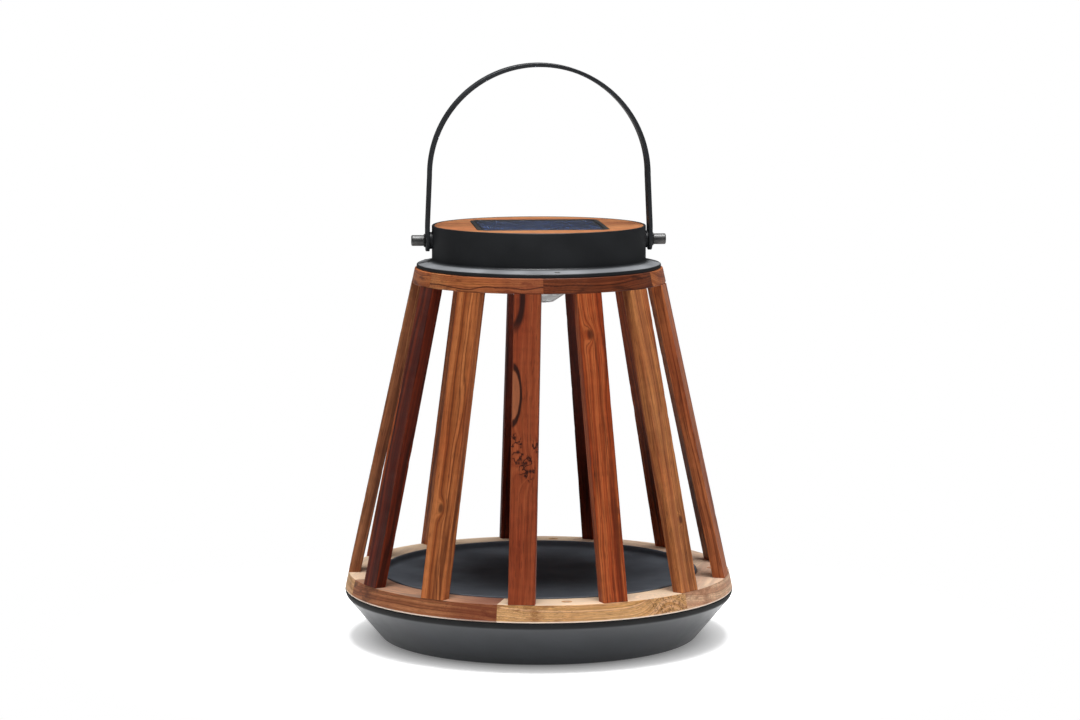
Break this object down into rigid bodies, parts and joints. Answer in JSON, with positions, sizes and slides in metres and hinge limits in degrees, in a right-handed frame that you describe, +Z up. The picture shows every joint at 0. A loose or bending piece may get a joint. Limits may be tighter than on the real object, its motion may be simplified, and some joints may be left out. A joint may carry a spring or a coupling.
{
  "type": "solar lantern",
  "caption": "Free-standing solar lantern: leaning timber slats between two timber rings on a dished metal base, capped by a drum with a solar panel, a lamp and a swinging strap bail.",
  "frame": {"origin": "on the lantern's axis, at the underside of the rubber pads it stands on", "axes": "+Z up; X along the bail's pins and square to the solar panel; the front faces -Y"},
  "size_m": [0.27, 0.27, 0.3988],
  "materials": {
    "black_coat": "satin powder coat",
    "tray_coat": "satin powder coat",
    "timber_light": "oiled hardwood",
    "timber_pink": "oiled hardwood",
    "timber_mid": "oiled hardwood",
    "timber_red": "oiled hardwood",
    "timber_dark": "oiled hardwood",
    "timber_disc": "oiled hardwood",
    "steel": "zinc plated",
    "dark_steel": "blackened",
    "knob_steel": "satin, dark grey",
    "rubber": "matte",
    "black_plastic": "fine grain",
    "solar_cell": "dark blue cells with fine grid lines",
    "panel_cover": "clear, low sheen",
    "clear_lens": "clear",
    "battery_sleeve": "printed sleeve, plain",
    "board_green": "solder mask",
    "board_white": "white solder mask",
    "emitter": "clear yellow",
    "button_grey": "fine grain",
    "lead_red": "insulated wire",
    "lead_black": "insulated wire"
  },
  "bodies": {
    "lantern": {"lower_ring_segment_1": "timber_light", "lower_ring_segment_2": "timber_pink", "lower_ring_segment_3": "timber_pink", "lower_ring_segment_4": "timber_light", "lower_ring_segment_5": "timber_light", "lower_ring_segment_6": "timber_red", "upper_ring_segment_1": "timber_red", "upper_ring_segment_2": "timber_light", "upper_ring_segment_3": "timber_mid", "upper_ring_segment_4": "timber_light", "upper_ring_segment_5": "timber_mid", "upper_ring_segment_6": "timber_mid", "slat_01": "timber_red", "slat_02": "timber_red", "slat_03": "timber_mid", "slat_04": "timber_red", "slat_05": "timber_mid", "slat_06": "timber_red", "slat_07": "timber_dark", "slat_08": "timber_dark", "slat_09": "timber_mid", "slat_10": "timber_red", "slat_11": "timber_mid", "slat_12": "timber_dark", "slat_13": "timber_mid", "base_bowl": "black_coat", "inner_tray": "tray_coat", "rubber_pads": "rubber", "tray_posts": "steel", "tray_screws": "dark_steel", "slat_screws_lower": "dark_steel", "slat_screws_upper": "dark_steel", "ring_screws": "dark_steel", "ring_nuts": "steel", "cap_shell": "black_coat", "cap_screws": "dark_steel", "top_disc": "timber_disc", "panel_bezel": "black_plastic", "solar_cells": "solar_cell", "panel_cover": "panel_cover", "cap_gasket": "rubber", "module_housing": "black_plastic", "module_screws": "steel", "battery_holder": "black_plastic", "battery_cell": "battery_sleeve", "battery_contacts": "steel", "circuit_board": "board_green", "lamp_board": "board_white", "light_emitters": "emitter", "lens": "clear_lens", "lens_collar": "black_plastic", "switch_body": "steel", "panel_leads": "lead_red", "lamp_leads": "lead_black", "bail_bolts": "knob_steel", "bail_washers": "rubber", "bail_bosses": "black_coat", "bail_nuts": "steel"},
    "bail": {"bail_strap": "black_coat"},
    "button": {"push_button": "button_grey"}
  },
  "joints": [
    {"name": "bail_swing", "type": "hinge", "parent": "lantern", "child": "bail", "pos_m": [0, 0, 0.2772], "axis": [1, 0, 0], "range_deg": [-100, 100]},
    {"name": "button_press", "type": "slide", "parent": "lantern", "child": "button", "axis": [0, 0, 1], "range_m": [0, 0.0015], "stiffness_N_per_m": 600}
  ]
}
